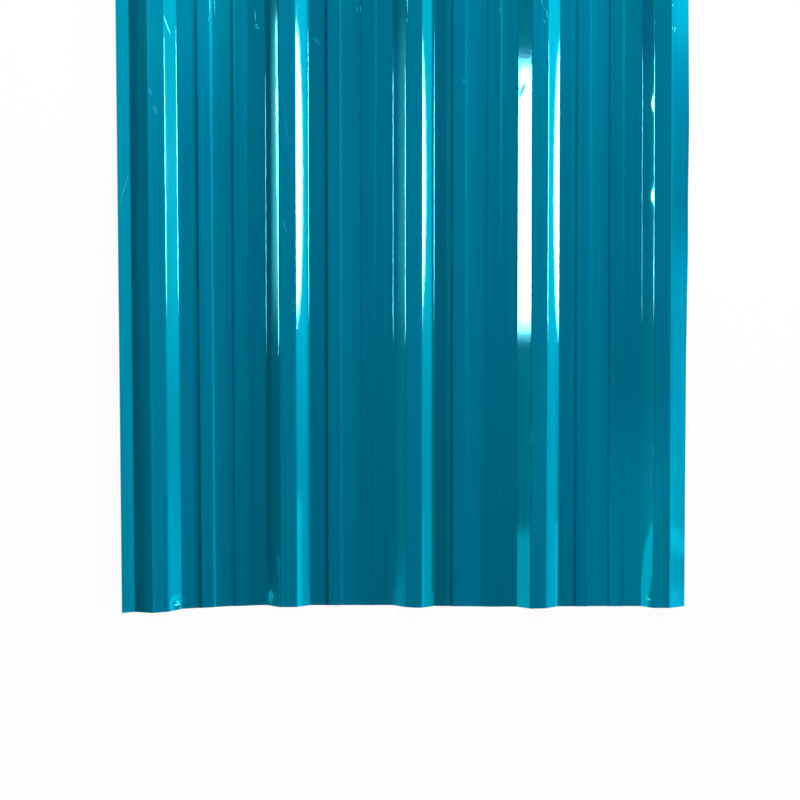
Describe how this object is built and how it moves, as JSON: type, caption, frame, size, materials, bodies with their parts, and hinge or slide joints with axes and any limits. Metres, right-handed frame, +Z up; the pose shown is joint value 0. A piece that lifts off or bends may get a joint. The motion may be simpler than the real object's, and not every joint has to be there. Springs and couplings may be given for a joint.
{
  "type": "trapezoidal roofing sheet",
  "caption": "Turquoise painted steel roofing sheet with tall trapezoidal ribs, wide flat pans with low stiffening ribs, and a lip on one side for lapping.",
  "frame": {"origin": "middle of the sheet's outline, on the floor under the pans", "axes": "+X across the ribs, from the underlap lip to the overlap edge; +Y along the ribs; +Z up, from the pans to the crests"},
  "size_m": [1.1108, 2.44, 0.025],
  "materials": {
    "painted_steel": "gloss"
  },
  "bodies": {
    "root": {"ribbed_sheet": "painted_steel"}
  },
  "joints": []
}
